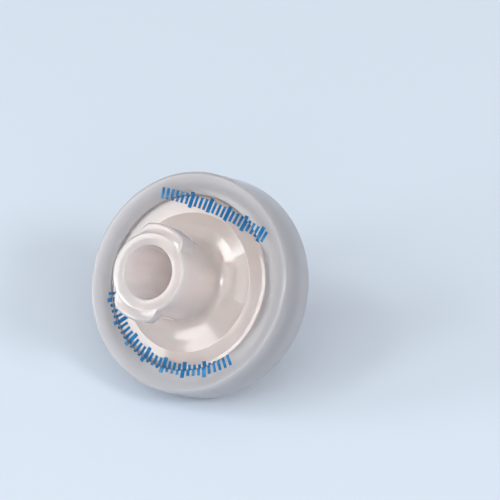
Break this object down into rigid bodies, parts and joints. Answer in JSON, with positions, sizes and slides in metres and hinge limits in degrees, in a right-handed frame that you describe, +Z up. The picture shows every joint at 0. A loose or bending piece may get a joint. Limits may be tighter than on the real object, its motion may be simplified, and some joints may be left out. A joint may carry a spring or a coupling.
{
  "type": "syringe filter",
  "caption": "Round disposable syringe filter in clear plastic: female luer-lock inlet on a dome, membrane between ribbed halves, frosted sealing band and long male luer outlet.",
  "frame": {"origin": "on the surface that the filter lies on, under the middle of its bounding box", "axes": "+Z up; the flow axis lies in the YZ plane, 38 degrees above the level, with the inlet up towards -Y and the outlet down towards +Y; +X across the disc"},
  "size_m": [0.018, 0.0184, 0.0163],
  "materials": {
    "clear_polypropylene": "gloss",
    "frosted_polypropylene": "satin",
    "ptfe_membrane": "matte"
  },
  "bodies": {
    "root": {"inlet_housing": "clear_polypropylene", "outlet_housing": "clear_polypropylene", "membrane": "ptfe_membrane", "sealing_band": "frosted_polypropylene"}
  },
  "joints": []
}
